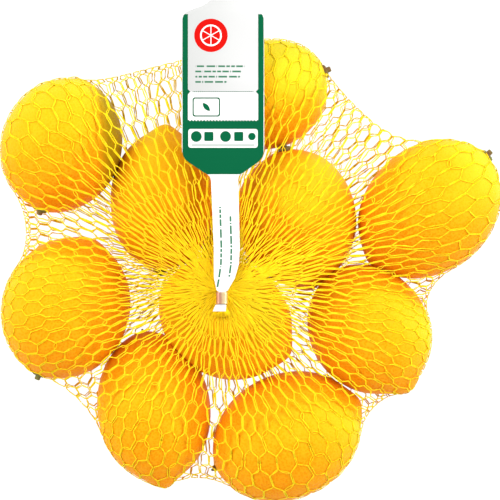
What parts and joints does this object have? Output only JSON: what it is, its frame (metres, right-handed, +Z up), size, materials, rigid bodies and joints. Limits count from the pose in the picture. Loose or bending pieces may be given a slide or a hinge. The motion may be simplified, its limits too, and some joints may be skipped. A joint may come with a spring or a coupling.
{
  "type": "net bag of lemons",
  "caption": "Flat-lying knitted net bag holding a layer of lemons, gathered at both ends by metal bands, with a long printed film tag lying over it.",
  "frame": {"origin": "on the floor under the middle of the object's box", "axes": "+Z up through the layer of lemons, +Y towards the tag's free end, +X to the right as seen from above"},
  "size_m": [0.2394, 0.2399, 0.0651],
  "materials": {
    "lemon_and_net": "yellow peel with fine pores, under bright yellow knitted net",
    "band_metal": "satin strip metal with a warm tint",
    "tag_film": "smooth white film printed in green and red"
  },
  "bodies": {
    "root": {"net_with_lemons": "lemon_and_net", "upper_band": "band_metal", "lower_band": "band_metal", "tag": "tag_film"}
  },
  "joints": []
}
